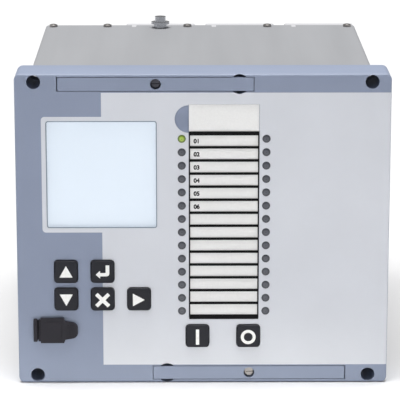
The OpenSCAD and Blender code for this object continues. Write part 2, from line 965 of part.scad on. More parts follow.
module case_flange() {
    rotate([90, 0, 90]) linear_extrude(flange_w, center = true) fold_outline(case_h / 2, flange_top);
}

// Slots in the rear top edges of the case and its rear plate for the terminal blocks' ribs
module key_slots() {
    slot = [key_rib.x + 2 * let_gap, key_rib.y + past, key_rib.z + past];
    for (i = [1 : bays - 1])
        translate([bay_x(i) + key_rib_x - slot.x / 2, case_depth - key_rib.y - let_gap, key_rib_z - let_gap])
            cube(slot);
}

module rear_screw_holes() {
    for (x = REAR_SCREW_X)
        translate([x, rear_screw_y, 0])
            cylinder(d = screw_d + 2 * shaft_gap, h = case_h + 2 * past, center = true);
}

module earth_hole() {
    translate([earth_x, earth_y, 0]) cylinder(d = earth_d + 2 * shaft_gap, h = case_h);
}

module case_shell() {
    color("#b9babd")
    difference() {
        union() {
            slab(bend_r, case_depth) rrect(case_w, case_h, fold_r);
            case_sides();
            both_rails() case_flange();
        }
        slab(-sheet_t - past, case_depth + past) rrect(inner_w, inner_h, fold_r - sheet_t);
        each_corner(fixing_w / 2, fixing_h / 2) rod(fixing_d, -sheet_t - past, past);
        both_rails() at(-handle_offset, handle_z) rod(screw_d + 2 * shaft_gap, -sheet_t - past, past);
        rear_screw_holes();
        earth_hole();
        key_slots();
    }
}

module rear_plate() {
    color("#b3b5b8")
    difference() {
        union() {
            slab(case_depth - sheet_t, case_depth) square([plate_w, plate_h], center = true);
            for (s = [-1, 1])
                at(0, s * (plate_h - sheet_t) / 2)
                    block(plate_w - 2 * fold_r, sheet_t, case_depth - rear_lip, case_depth);
        }
        for (i = [0 : bays - 1])
            at(bay_x(i), 0) block(bay_cut.x, bay_cut.y, case_depth - sheet_t - past, case_depth + past);
        rear_screw_holes();
        earth_hole();
        key_slots();
        for (i = [0 : bays - 1], s = [-1, 1])
            at(bay_x(i), s * cover_screw_z)
                rod(screw_d + 2 * shaft_gap, case_depth - 2 * sheet_t, case_depth + past);
    }
}

module rear_screws() {
    color("#c4c7cc")
    union() {
        for (x = REAR_SCREW_X, s = [0, 180])
            rotate([0, s, 0]) translate([cos(s) * x, rear_screw_y, case_h / 2]) rotate([90, 0, 0])
                pan_screw(screw_d, 2 * sheet_t + 2 * past, pan_d, pan_h);
        for (s = [-1, 1], i = [0 : bays - 1])
            at(bay_x(i), s * cover_screw_z) translate([0, case_depth + comms_t, 0])
                pan_screw(screw_d, comms_t + 2 * sheet_t, pan_d, pan_h);
    }
}

module terminal_block(i) {
    back = case_depth + block_depth;
    recess_h = terminal_pitch - barrier_t;
    color("#e2e2e4")
    at(bay_x(i), 0) difference() {
        union() {
            rotate([0, 0, 180])
                soft_block(block_w, block_h, block_corner_r, block_edge_r, -back, -case_depth);
            block(bay_inner.x, bay_inner.y, case_depth - block_inner, case_depth + past);
            translate([key_rib_x - key_rib.x / 2, case_depth - key_rib.y, key_rib_z])
                cube([key_rib.x, key_rib.y + past, key_rib.z]);
        }
        for (r = [0 : terminal_rows - 1], s = [-1, 1])
            at(s * (block_w + spine_w) / 2, terminal_z0 - r * terminal_pitch)
                block(block_w, recess_h, back - barrier_h, back + past);
        for (s = [-1, 1])
            at(0, s * cover_screw_z) {
                rod(pan_d + 4 * run_gap, case_depth + comms_t, back + past);
                rod(screw_d + 2 * shaft_gap, case_depth - past, back);
            }
    }
}

module terminal_block_1() {
    terminal_block(1);
}

module terminal_block_2() {
    terminal_block(2);
}

module terminal_block_3() {
    terminal_block(3);
}

module terminal_screws() {
    seat = case_depth + block_depth - barrier_h;
    washer_w = terminal_screw_d + 2 * washer_over;
    color("#cfd0cf")
    for (i = [1 : bays - 1], r = [0 : terminal_rows - 1], s = [-1, 1])
        at(bay_x(i) + s * terminal_x, terminal_z0 - r * terminal_pitch) {
            block(washer_w, washer_w, seat, seat + washer_t);
            translate([0, seat + washer_t, 0])
                pan_screw(earth_d, washer_t / 2, terminal_screw_d, terminal_head_h);
        }
}

// Window in the communications plate for a socket of that size
module comms_window(size) {
    block(size.x + 2 * let_gap, size.z + 2 * let_gap, case_depth - past, comms_past);
}

module comms_plate() {
    color("#a9abae")
    difference() {
        at(bay_x(0), 0) slab(case_depth, case_depth + comms_t) rrect(block_w, block_h, block_corner_r);
        for (s = [0, 1])
            at(bay_x(0), jack_z - s * jack_pitch) comms_window(jack_size);
        at(bay_x(0), serial_z) comms_window(serial_size);
        for (s = [-1, 1])
            at(bay_x(0), s * cover_screw_z) rod(screw_d + 2 * shaft_gap, case_depth - past, comms_past);
    }
}

module ethernet_jacks() {
    back = case_depth + jack_out;
    color("#2b2c30")
    for (s = [0, 1])
        at(bay_x(0), jack_z - s * jack_pitch) difference() {
            block(jack_size.x, jack_size.z, back - jack_size.y, back);
            block(jack_mouth.x, jack_mouth.z, back - jack_mouth.y, back + past);
            at(0, (jack_mouth.z + jack_latch.z) / 2 - let_gap)
                block(jack_latch.x, jack_latch.z, back - jack_latch.y, back + past);
        }
}

module serial_terminal() {
    back = case_depth + jack_out;
    color("#3f7a4c")
    at(bay_x(0), serial_z) difference() {
        block(serial_size.x, serial_size.z, back - serial_size.y, back);
        for (i = [0 : serial_ways - 1])
            at((i - (serial_ways - 1) / 2) * serial_pitch, -serial_hole_drop)
                block(serial_hole.x, serial_hole.z, back - serial_hole.y, back + past);
    }
}

module earth_screw() {
    seat = case_h / 2 + earth_nut_h + earth_washer_t;
    color("#cfd1d4")
    translate([earth_x, earth_y, 0]) difference() {
        union() {
            translate([0, 0, seat]) cylinder(d = earth_head_d, h = earth_head_h);
            translate([0, 0, case_h / 2 - earth_reach])
                cylinder(d = earth_d, h = seat + past - case_h / 2 + earth_reach);
        }
        translate([-earth_head_d, -slot_w / 2, seat + earth_head_h - earth_slot_depth])
            cube([2 * earth_head_d, slot_w, earth_slot_depth + past]);
    }
}

module earth_washer() {
    color("#c9ccd0")
    translate([earth_x, earth_y, case_h / 2 + earth_nut_h]) difference() {
        cylinder(d = earth_washer_d, h = earth_washer_t);
        translate([0, 0, -past]) cylinder(d = earth_d + 2 * shaft_gap, h = earth_washer_t + 2 * past);
    }
}

module earth_nut() {
    color("#c4c7cc")
    translate([earth_x, earth_y, case_h / 2]) difference() {
        cylinder(d = earth_nut_d, h = earth_nut_h, $fn = 6);
        translate([0, 0, -past]) cylinder(d = earth_d + 2 * shaft_gap, h = earth_nut_h + 2 * past);
    }
}

module slide_rails() {
    color("#4a4b50")
    for (s = [-1, 1])
        translate([s * (inner_w - slide_rail.x) / 2, slide_rail_y, slide_rail.z / 2 - inner_h / 2])
            block(slide_rail.x - fold_r, slide_rail.z, 0, slide_rail.y);
}

// Withdrawable chassis

module chassis_front_plate() {
    color("#bcbec2")
    difference() {
        slab(plate_y, plate_back) rrect(cavity_w - 2 * run_gap, cavity_h - 2 * run_gap, cavity_r);
        for (i = [0 : bays - 1])
            at(board_face(i) + board_dir(i) * header.x / 2, 0)
                block(header.x + 4 * run_gap, header.y + 4 * run_gap, plate_y - past, plate_back + past);
        each_corner(boss_x, boss_z) rod(screw_d, plate_y - past, plate_back + past);
    }
}

module chassis_side(s) {
    color("#bcbec2")
    difference() {
        translate([s * (side_in + side_out) / 2, 0, 0])
            block(chassis_t, 2 * chassis_half_h, plate_back, chassis_end);
        each_cross_rail() rotate([0, 90, 0]) cylinder(d = rivet_d, h = 2 * case_w, center = true);
    }
}

module chassis_side_left() {
    chassis_side(-1);
}

module chassis_side_right() {
    chassis_side(1);
}

// Places of the cross rails, at the middle of each section
module each_cross_rail() {
    for (y = CROSS_RAIL_Y, s = [-1, 1])
        translate([0, y, s * (chassis_half_h - cross_rail.y / 2)]) children();
}

module cross_rails() {
    hole_depth = rivet_len + past;
    color("#c6c8cb")
    difference() {
        each_cross_rail() cube([2 * side_in, cross_rail.x, cross_rail.y], center = true);
        for (i = [0 : bays - 1])
            translate([bay_x(i), board_end / 2, 0])
                cube([board_t + 2 * let_gap, 2 * board_end, 2 * board_half_h + 2 * let_gap], center = true);
        each_cross_rail() for (s = [-1, 1])
            translate([s * side_in, 0, 0]) rotate([0, 90, 0])
                cylinder(d = rivet_d, h = 2 * hole_depth, center = true);
    }
}

module chassis_fasteners() {
    color("#c4c7cc")
    union() {
        each_cross_rail() for (s = [-1, 1])
            rotate([0, s * 90, 0]) translate([0, 0, side_in - rivet_len]) {
                cylinder(d = rivet_d, h = rivet_len + chassis_t + rivet_head_h / 2);
                translate([0, 0, rivet_len + chassis_t]) cylinder(d = rivet_head_d, h = rivet_head_h);
            }
        each_corner(boss_x, boss_z) translate([0, plate_back, 0])
            pan_screw(screw_d, plate_back - display_y - past, pan_d, pan_h);
    }
}

module circuit_board(i) {
    at(bay_x(i), 0) block(board_t, 2 * board_half_h, board_front, board_end);
}

module power_board() {
    color("#2f6b3f") circuit_board(0);
}

module processor_board() {
    color("#2f6b3f") circuit_board(1);
}

module relay_board() {
    color("#2f6b3f") circuit_board(2);
}

module analogue_board() {
    color("#2f6b3f") circuit_board(3);
}

module board_headers() {
    color("#26262a")
    for (i = [0 : bays - 1])
        at(board_face(i) + board_dir(i) * header.x / 2, 0)
            block(header.x, header.y, display_y + board_t, board_front + header_over);
}

module rear_plugs() {
    color("#33343a")
    for (i = [0 : bays - 1])
        at(board_face(i) + board_dir(i) * plug.x / 2, 0)
            block(plug.x, plug.y, board_end - plug_over, plug_end);
}

// Places a component on a board's face, with +X pointing away from the board
module on_board(i, y, z) {
    translate([board_face(i), y, z]) mirror([board_dir(i) < 0 ? 1 : 0, 0, 0]) children();
}

// A block-shaped component standing on its board
module part_block(size) {
    translate([0, -size.y / 2, -size.z / 2]) cube(size);
}

// Laminated core with two windows beside its middle leg
module transformer_cores() {
    window = (core.y - core_leg - 2 * core_yoke) / 2;
    color("#6d6f74")
    for (t = TRANSFORMERS)
        on_board(t[0], t[1], t[2]) translate([coil_x / 2, 0, 0]) difference() {
            cube(core, center = true);
            for (s = [-1, 1])
                translate([0, s * (core_leg + window) / 2, 0])
                    cube([core.x + 2 * past, window, core.z - 2 * core_yoke], center = true);
        }
}

module transformer_coils() {
    coil_h = core.z - 2 * core_yoke - 2 * coil_play;
    color("#a8622e")
    for (t = TRANSFORMERS)
        on_board(t[0], t[1], t[2]) translate([coil_x / 2, 0, 0]) difference() {
            cube([coil_x, core_leg + 2 * coil_wall, coil_h], center = true);
            cube([core.x + 2 * coil_play, core_leg + 2 * coil_play, 2 * coil_h], center = true);
        }
}

module output_relays() {
    color("#23345c")
    for (i = [0 : 2], j = [-2 : 2])
        on_board(2, relay_y + i * relay_pitch.x, j * relay_pitch.y) part_block(relay);
}

module capacitors() {
    color("#2a2d38")
    for (i = [0, 1], j = [0 : 2])
        on_board(0, cap_y + i * cap_pitch.x, cap_z + j * cap_pitch.y) rotate([0, 90, 0])
            cylinder(d = cap_d, h = cap_len);
}

module processor_chips() {
    color("#1e1f22")
    union() {
        on_board(1, chip_y, processor_z) part_block(processor);
        for (j = [0, 1])
            on_board(1, chip_y, memory_z + j * memory_pitch) part_block(memory);
        for (j = [-1.5 : 1 : 1.5])
            on_board(1, driver_y, j * driver_pitch) part_block(driver);
    }
}

case_shell();
rear_plate();
rear_screws();
terminal_block_1();
terminal_block_2();
terminal_block_3();
terminal_screws();
comms_plate();
ethernet_jacks();
serial_terminal();
earth_screw();
earth_washer();
earth_nut();
clinch_nuts();
slide_rails();
fascia();
fascia_corners();
fascia_overlay();
lcd_window();
lcd_panel();
label_card();
label_frame();
led_lenses();
led_lens_lit();
display_board();
indicator_leds();
tact_switches();
usb_socket();
usb_insulator();
usb_cover_anchor();
usb_cover();
chassis_front_plate();
chassis_side_left();
chassis_side_right();
cross_rails();
chassis_fasteners();
power_board();
processor_board();
relay_board();
analogue_board();
board_headers();
rear_plugs();
transformer_cores();
transformer_coils();
output_relays();
capacitors();
processor_chips();
handle_pins();
handle_top();
handle_bottom();
release_screw_top();
release_screw_bottom();
key_up();
key_enter();
key_down();
key_cancel();
key_right();
key_close();
key_open();
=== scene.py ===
"""Looks of a flush-mounting protection relay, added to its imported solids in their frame, in metres."""
import json
import math
import random

import bmesh
import bpy
from mathutils import Matrix, Vector


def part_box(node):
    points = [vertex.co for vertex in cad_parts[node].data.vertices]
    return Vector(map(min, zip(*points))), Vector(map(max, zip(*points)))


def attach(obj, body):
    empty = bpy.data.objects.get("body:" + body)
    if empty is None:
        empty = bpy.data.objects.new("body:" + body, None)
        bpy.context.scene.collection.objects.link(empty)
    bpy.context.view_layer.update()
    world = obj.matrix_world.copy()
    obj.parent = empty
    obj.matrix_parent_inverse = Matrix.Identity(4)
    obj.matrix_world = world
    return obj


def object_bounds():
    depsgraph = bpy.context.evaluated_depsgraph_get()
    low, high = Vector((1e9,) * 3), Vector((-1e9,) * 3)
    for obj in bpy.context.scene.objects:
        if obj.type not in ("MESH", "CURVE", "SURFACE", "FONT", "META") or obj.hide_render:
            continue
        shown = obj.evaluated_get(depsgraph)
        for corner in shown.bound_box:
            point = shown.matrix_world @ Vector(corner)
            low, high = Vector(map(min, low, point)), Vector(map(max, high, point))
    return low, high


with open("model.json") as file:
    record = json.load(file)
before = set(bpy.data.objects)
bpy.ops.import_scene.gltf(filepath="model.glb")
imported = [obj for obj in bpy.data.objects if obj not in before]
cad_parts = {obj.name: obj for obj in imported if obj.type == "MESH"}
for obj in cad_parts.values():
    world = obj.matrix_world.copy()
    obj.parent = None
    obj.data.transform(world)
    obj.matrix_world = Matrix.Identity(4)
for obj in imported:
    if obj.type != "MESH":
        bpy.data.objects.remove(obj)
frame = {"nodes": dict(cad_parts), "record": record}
cad_low, cad_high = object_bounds()

MM = 0.001
# Half the thickness of printed ink, and of a raised layer
INK = 0.02 * MM
RAISED = 0.06 * MM
# The way the part's face looks, and the places of two axes in a vector
FRONT = (0, -1, 0)
AXIS_Y = 1
AXIS_Z = 2


def srgb(red, green, blue):
    """A colour from screen values of 0 to 255, as linear RGBA."""
    shares = [c / 255 for c in (red, green, blue)]
    linear = [s / 12.92 if s <= 0.04045 else ((s + 0.055) / 1.055) ** 2.4 for s in shares]
    return (*linear, 1.0)


def shade(colour, factor):
    """The colour made lighter or darker."""
    return (*[min(1.0, c * factor) for c in colour[:3]], 1.0)


# Values of a texture between which the colour drifts
DRIFT_LOW = 0.3
DRIFT_HIGH = 0.7
# Length after which the band texture repeats at a scale of 1
BAND_PERIOD = math.pi / 10


class Finish:
    """A procedural material: a Principled shader with textures in the part's own coordinates."""

    def __init__(self, name, colour, roughness, metallic=0.0, **sockets):
        self.material = bpy.data.materials.new(name)
        self.material.use_nodes = True
        self.tree = self.material.node_tree
        self.shader = self.tree.nodes["Principled BSDF"]
        self.place = self.node("ShaderNodeTexCoord").outputs["Object"]
        self.colour = colour
        self.normal = None
        sockets = {"Base Color": colour, "Roughness": roughness, "Metallic": metallic, **sockets}
        for socket, value in sockets.items():
            self.shader.inputs[socket].default_value = value

    def node(self, kind):
        return self.tree.nodes.new(kind)

    def link(self, output, target):
        self.tree.links.new(output, target)

    def stretched(self, stretch):
        mapping = self.node("ShaderNodeMapping")
        mapping.inputs["Scale"].default_value = stretch
        self.link(self.place, mapping.inputs["Vector"])
        return mapping.outputs["Vector"]

    def noise(self, scale, detail=2.0, stretch=(1, 1, 1)):
        texture = self.node("ShaderNodeTexNoise")
        texture.inputs["Scale"].default_value = scale
        texture.inputs["Detail"].default_value = detail
        self.link(self.stretched(stretch), texture.inputs["Vector"])
        return texture.outputs["Fac"]

    def bands(self, pitch, axis, distortion=0.0):
        """Soft bands that repeat every pitch along the axis."""
        texture = self.node("ShaderNodeTexWave")
        texture.bands_direction = axis
        texture.inputs["Scale"].default_value = BAND_PERIOD / pitch
        texture.inputs["Distortion"].default_value = distortion
        self.link(self.place, texture.inputs["Vector"])
        return texture.outputs["Fac"]

    def ramp(self, value, stops, socket="Base Color"):
        """Colours the surface by a value: stops are (position, colour)."""
        ramp = self.node("ShaderNodeValToRGB")
        elements = ramp.color_ramp.elements
        while len(elements) < len(stops):
            elements.new(0.5)
        for element, (position, colour) in zip(elements, stops):
            element.position = position
            element.color = colour
        self.link(value, ramp.inputs["Fac"])
        self.link(ramp.outputs["Color"], self.shader.inputs[socket])

    def mottle(self, value, amount):
        """Lets the colour drift by the amount either way."""
        darker = shade(self.colour, 1 - amount)
        lighter = shade(self.colour, 1 + amount)
        self.ramp(value, [(DRIFT_LOW, darker), (DRIFT_HIGH, lighter)])

    def vary_roughness(self, value, low, high):
        span = self.node("ShaderNodeMapRange")
        span.inputs["To Min"].default_value = low
        span.inputs["To Max"].default_value = high
        self.link(value, span.inputs["Value"])
        self.link(span.outputs["Result"], self.shader.inputs["Roughness"])

    def bump(self, height, strength, depth):
        """Adds relief to the surface, over any that it has already."""
        bump = self.node("ShaderNodeBump")
        bump.inputs["Strength"].default_value = strength
        bump.inputs["Distance"].default_value = depth
        self.link(height, bump.inputs["Height"])
        if self.normal is not None:
            self.link(self.normal, bump.inputs["Normal"])
        self.normal = bump.outputs["Normal"]
        self.link(self.normal, self.shader.inputs["Normal"])


def moulded(name, colour, roughness=0.5, grain=0.35 * MM, depth=0.03 * MM, specular=0.5):
    """Moulded plastic with a fine spark-eroded grain."""
    finish = Finish(name, colour, roughness, **{"Specular IOR Level": specular})
    finish.mottle(finish.noise(scale=28, detail=3), amount=0.025)
    patches = finish.noise(scale=1 / (3 * grain))
    finish.vary_roughness(patches, low=roughness - 0.06, high=roughness + 0.06)
    finish.bump(finish.noise(scale=1 / grain, detail=1), strength=0.35, depth=depth)
    return finish


# Stretch of a sheet's grain, which runs from front to back
ROLLING = (1, 0.06, 1)


def sheet_metal(name, colour, roughness, metallic):
    """Coated sheet with faint rolling lines and cloudy spangle."""
    finish = Finish(name, colour, roughness, metallic)
    finish.mottle(finish.noise(scale=60, detail=6, stretch=ROLLING), amount=0.045)
    clouds = finish.noise(scale=14, detail=4)
    finish.vary_roughness(clouds, low=roughness - 0.08, high=roughness + 0.08)
    finish.bump(finish.noise(scale=1800, detail=2, stretch=ROLLING), strength=0.12, depth=0.02 * MM)
    return finish


def plated(name, colour, roughness=0.28):
    """Plated metal, a little uneven in its colour and gloss."""
    finish = Finish(name, colour, roughness, metallic=1.0)
    finish.mottle(finish.noise(scale=300, detail=3), amount=0.06)
    patches = finish.noise(scale=900, detail=2)
    finish.vary_roughness(patches, low=roughness - 0.08, high=roughness + 0.1)
    finish.bump(finish.noise(scale=2500, detail=1), strength=0.1, depth=0.01 * MM)
    return finish


def rubber(name, colour):
    finish = Finish(name, colour, roughness=0.62, **{"Specular IOR Level": 0.3})
    finish.mottle(finish.noise(scale=120, detail=4), amount=0.08)
    finish.bump(finish.noise(scale=3200, detail=2), strength=0.3, depth=0.03 * MM)
    return finish


def ink(name, colour, specular=0.5):
    finish = Finish(name, colour, roughness=0.55, **{"Specular IOR Level": specular})
    finish.mottle(finish.noise(scale=700, detail=2), amount=0.05)
    return finish


def paper(name, colour):
    finish = Finish(name, colour, roughness=0.75)
    finish.mottle(finish.noise(scale=900, detail=4), amount=0.02)
    finish.bump(finish.noise(scale=2600, detail=3), strength=0.15, depth=0.01 * MM)
    return finish


def facing(finish):
    """How squarely the surface faces the front: 1 at the middle of a domed lens, less at its rim."""
    geometry = finish.node("ShaderNodeNewGeometry")
    dot = finish.node("ShaderNodeVectorMath")
    dot.operation = "DOT_PRODUCT"
    dot.inputs[1].default_value = FRONT
    finish.link(geometry.outputs["Normal"], dot.inputs[0])
    return dot.outputs["Value"]


# How squarely a lens faces the front where the painted shade of the rim ends and where the painted
# highlight of the middle begins
LENS_RIM_SHADE = 0.98
LENS_MIDDLE_HIGHLIGHT = 0.997


def lens(name, rim, middle, glow=0.0):
    """A domed light pipe, with painted shade darker towards its rim and a painted highlight lighter in
    its middle.
    """
    finish = Finish(name, middle, roughness=0.3, **{"Coat Weight": 0.3, "Coat Roughness": 0.15})
    # Painted shade and highlight: the colour (and the glow of a lit lens) darkens towards the rim and
    # lightens in the middle by how the surface faces the front
    stops = [(LENS_RIM_SHADE, rim), (LENS_MIDDLE_HIGHLIGHT, middle)]
    finish.ramp(facing(finish), stops)
    if glow:
        finish.ramp(facing(finish), stops, socket="Emission Color")
        finish.shader.inputs["Emission Strength"].default_value = glow
    finish.bump(finish.noise(scale=1500, detail=1), strength=0.06, depth=0.01 * MM)
    return finish


DOT_PITCH = 0.42 * MM
# Share of the display's colour that it gives off, and the sum of that and what it reflects
DISPLAY_GLOW = 0.65
DISPLAY_SUM = 1.05


def display(name, colour):
    """The lit field of the display, with a faint dot grid."""
    unlit = shade(colour, DISPLAY_SUM - DISPLAY_GLOW)
    glow = {"Emission Color": colour, "Emission Strength": DISPLAY_GLOW}
    finish = Finish(name, unlit, roughness=0.35, **glow)
    finish.mottle(finish.bands(DOT_PITCH, "X"), amount=0.008)
    finish.vary_roughness(finish.bands(DOT_PITCH, "Z"), low=0.3, high=0.4)
    return finish


def window(name, colour):
    """A thin clear window: most light goes straight through, and the rest shows as gloss."""
    finish = Finish(name, colour, roughness=0.06, Alpha=0.1)
    finish.vary_roughness(finish.noise(scale=80, detail=2), low=0.04, high=0.09)
    return finish


def circuit_board(name):
    """Green solder mask with lighter tracks."""
    mask = srgb(34, 92, 58)
    track = srgb(66, 132, 86)
    mask_end = 0.72
    track_start = 0.78
    finish = Finish(name, mask, roughness=0.38, **{"Coat Weight": 0.25})
    lines = finish.bands(pitch=2.6 * MM, axis="Z", distortion=1.5)
    finish.ramp(lines, [(0.0, mask), (mask_end, mask), (track_start, track), (1.0, track)])
    finish.bump(lines, strength=0.15, depth=0.03 * MM)
    return finish


def laminations(name, colour):
    finish = Finish(name, colour, roughness=0.5, metallic=0.6)
    stack = finish.bands(pitch=0.9 * MM, axis="X")
    finish.mottle(stack, amount=0.18)
    finish.bump(stack, strength=0.35, depth=0.05 * MM)
    return finish


def winding(name, colour):
    finish = Finish(name, colour, roughness=0.42, metallic=0.3)
    turns = finish.bands(pitch=0.8 * MM, axis="Z", distortion=0.4)
    finish.mottle(turns, amount=0.22)
    finish.bump(turns, strength=0.5, depth=0.08 * MM)
    return finish


# The finish of each material slot
FINISHES = {
    "fascia_blue_grey": moulded("fascia_plastic", srgb(131, 141, 163), roughness=0.55),
    "light_panel": moulded("panel_film", srgb(203, 206, 213), roughness=0.42, grain=0.2 * MM,
                           depth=0.01 * MM),
    "clear_window": window("window_plastic", srgb(235, 243, 250)),
    "lcd": display("display_field", srgb(223, 234, 246)),
    "white_card": paper("label_paper", srgb(232, 232, 231)),
    "smoked_lens": lens("unlit_lens", srgb(44, 47, 56), srgb(72, 75, 84)),
    "green_lens": lens("lit_lens", srgb(82, 100, 30), srgb(152, 180, 58), glow=0.12),
    "key_black": moulded("key_plastic", srgb(30, 31, 38), roughness=0.42, grain=0.3 * MM, specular=0.2),
    "dark_rubber": rubber("cover_rubber", srgb(32, 30, 38)),
    "zinc_sheet": sheet_metal("case_sheet", srgb(149, 151, 156), roughness=0.6, metallic=0.12),
    "chassis_sheet": sheet_metal("chassis_sheet", srgb(186, 189, 194), roughness=0.42, metallic=0.75),
    "bright_steel": plated("plated_steel", srgb(196, 198, 202)),
    "tinned_brass": plated("tinned_terminal", srgb(196, 192, 178), roughness=0.34),
    "pale_plastic": moulded("terminal_plastic", srgb(190, 191, 196), roughness=0.48),
    "black_plastic": moulded("black_plastic", srgb(38, 38, 42), roughness=0.5),
    "green_plastic": moulded("terminal_green", srgb(62, 122, 78), roughness=0.45),
    "circuit_board": circuit_board("solder_mask"),
    "led_chip": moulded("chip_resin", srgb(238, 235, 218), roughness=0.35),
    "core_steel": laminations("core_laminations", srgb(112, 114, 120)),
    "coil_copper": winding("coil_winding", srgb(164, 96, 48)),
    "relay_blue": moulded("relay_case", srgb(36, 54, 96), roughness=0.4),
    "capacitor_sleeve": moulded("capacitor_sleeve", srgb(40, 44, 58), roughness=0.28),
}
FRAME_INK = ink("frame_ink", srgb(12, 12, 14), specular=0.1)
KEY_PRINT = ink("key_print", srgb(240, 240, 238))
# Painted shade: grey ink for the shadow line round the display window's recess
RECESS_SHADE_INK = ink("recess_shade_ink", srgb(128, 140, 152))
CONTACT_GOLD = plated("contact_gold", srgb(212, 176, 96), roughness=0.24)
LEAD_TIN = plated("lead_tin", srgb(206, 208, 210), roughness=0.3)
BURNISHED_STEEL = plated("burnished_steel", srgb(146, 143, 142), roughness=0.36)
# Painted shade: a darker copy of the release screws' steel, for the top screw that sits in shade
SHADED_STEEL = plated("shaded_steel", srgb(66, 66, 72), roughness=0.3)
PART_TAN = moulded("part_tan", srgb(150, 124, 92), roughness=0.4, grain=0.15 * MM)

# Nodes whose look differs from the rest of their slot
NODE_FINISHES = {
    "label_frame": FRAME_INK,
    "rear_screws": BURNISHED_STEEL,
    # The top release screw takes the painted-shade copy of the steel of the bottom one
    "release_screw_top": SHADED_STEEL,
    "release_screw_bottom": BURNISHED_STEEL,
}


def dress_nodes():
    """Gives each solid of the frame its own finish or that of its material slot."""
    slots = {row["node"]: row["material_slot"] for row in frame["record"]["subparts"]}
    for name, solid in frame["nodes"].items():
        finish = NODE_FINISHES.get(name, FINISHES[slots[name]])
        solid.data.materials.clear()
        solid.data.materials.append(finish.material)


def piece(name, mesh, finish, body):
    """Adds a piece to the object, whose mesh is already in place."""
    made = bpy.data.objects.new(name, mesh)
    bpy.context.scene.collection.objects.link(made)
    mesh.materials.clear()
    mesh.materials.append(finish.material)
    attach(made, body)


# Points closer than this are one point of a seam
SEAM = 1e-7


def settled_mesh(name, curve):
    """The mesh of a curve or text, with its seams joined."""
    holder = bpy.data.objects.new(name + "_curve", curve)
    bpy.context.scene.collection.objects.link(holder)
    bpy.context.view_layer.update()
    evaluated = holder.evaluated_get(bpy.context.evaluated_depsgraph_get())
    mesh = bpy.data.meshes.new_from_object(evaluated)
    mesh.name = name
    bpy.data.objects.remove(holder)
    form = bmesh.new()
    form.from_mesh(mesh)
    bmesh.ops.remove_doubles(form, verts=form.verts, dist=SEAM)
    bmesh.ops.dissolve_degenerate(form, edges=form.edges, dist=SEAM)
    form.to_mesh(mesh)
    form.free()
    return mesh


def faced_front(x, y, z):
    """Turns a flat outline drawn in X and Y to face the front, at a place on the face."""
    return Matrix.Translation((x, y, z)) @ Matrix.Rotation(math.pi / 2, 4, "X")


def flat_print(name, loops, half_thickness):
    """A thin flat shape: outlines in X and Y, with inner ones as holes."""
    curve = bpy.data.curves.new(name, "CURVE")
    curve.dimensions = "2D"
    curve.fill_mode = "BOTH"
    curve.extrude = half_thickness
    for loop in loops:
        spline = curve.splines.new("POLY")
        spline.points.add(len(loop) - 1)
        spline.use_cyclic_u = True
        for point, (x, y) in zip(spline.points, loop):
            point.co = (x, y, 0, 1)
    return settled_mesh(name, curve)


def arc(x, y, radius, start, end, steps):
    """Points of an arc about (x, y), with its angles in degrees."""
    angles = [math.radians(start + (end - start) * i / steps) for i in range(steps + 1)]
    return [(x + radius * math.cos(a), y + radius * math.sin(a)) for a in angles]


# Straight steps in a round corner, and places along a softened one
CORNER_STEPS = 5
SOFT_PLACES = (0, 0.25, 0.5, 0.75, 1)


def round_box(width, height, radius):
    """Outline of a rectangle with round corners, about its middle."""
    x = width / 2 - radius
    y = height / 2 - radius
    corners = [(x, y, 0), (-x, y, 90), (-x, -y, 180), (x, -y, 270)]
    return [p for cx, cy, start in corners for p in arc(cx, cy, radius, start, start + 90, CORNER_STEPS)]


def softened(points, reach, longer=None):
    """A closed outline with curved corners, some with a longer reach that is given by their index."""
    outline = []
    for i, corner in enumerate(points):
        here = Vector(corner)
        before = Vector(points[i - 1])
        after = Vector(points[(i + 1) % len(points)])
        corner_reach = (longer or {}).get(i, reach)
        start = here + (before - here).normalized() * corner_reach
        end = here + (after - here).normalized() * corner_reach
        for t in SOFT_PLACES:
            outline.append(tuple(start * (1 - t) ** 2 + here * 2 * t * (1 - t) + end * t ** 2))
    return outline


# Symbols on the keys, in millimetres from the key's middle
SYMBOL_CORNER = 0.3
RING_SIDES = 60


def triangle_symbol(turn):
    half = 3.68
    height = 6.7
    drop = 3.45
    points = [(0, height - drop), (-half, -drop), (half, -drop)]
    spin = Matrix.Rotation(math.radians(turn), 2)
    return [softened([tuple(spin @ Vector(p)) for p in points], SYMBOL_CORNER)]


def enter_symbol():
    """An arrow that comes down at the right and turns to the left."""
    tip = (-3.8, -1.8)
    neck = -1.3
    head_top = 0.5
    head_foot = -4.1
    shaft_top = -0.85
    shaft_foot = -2.8
    stem_left = 1.8
    stem_right = 3.9
    stem_top = 3.6
    elbow_inside = (stem_left, shaft_top)
    elbow_outside = (stem_right, shaft_foot)
    points = [tip, (neck, head_top), (neck, shaft_top), elbow_inside, (stem_left, stem_top),
              (stem_right, stem_top), elbow_outside, (neck, shaft_foot), (neck, head_foot)]
    elbows = {points.index(elbow_inside): 0.5, points.index(elbow_outside): 1.9}
    return [softened(points, reach=0.35, longer=elbows)]


def cross_symbol():
    length = 4.95
    half = 1.06
    arm = [(half, half), (half, length), (-half, length)]
    points = []
    for turn in (45, 135, 225, 315):
        spin = Matrix.Rotation(math.radians(turn), 2)
        points += [tuple(spin @ Vector(p)) for p in arm]
    return [softened(points, SYMBOL_CORNER)]


def bar_symbol():
    return [round_box(width=1.82, height=8.9, radius=SYMBOL_CORNER)]


def ring_symbol():
    outer = 4.18
    inner = 2.48
    last = 360 - 360 / RING_SIDES
    return [arc(0, 0, radius, 0, last, RING_SIDES - 1) for radius in (outer, inner)]


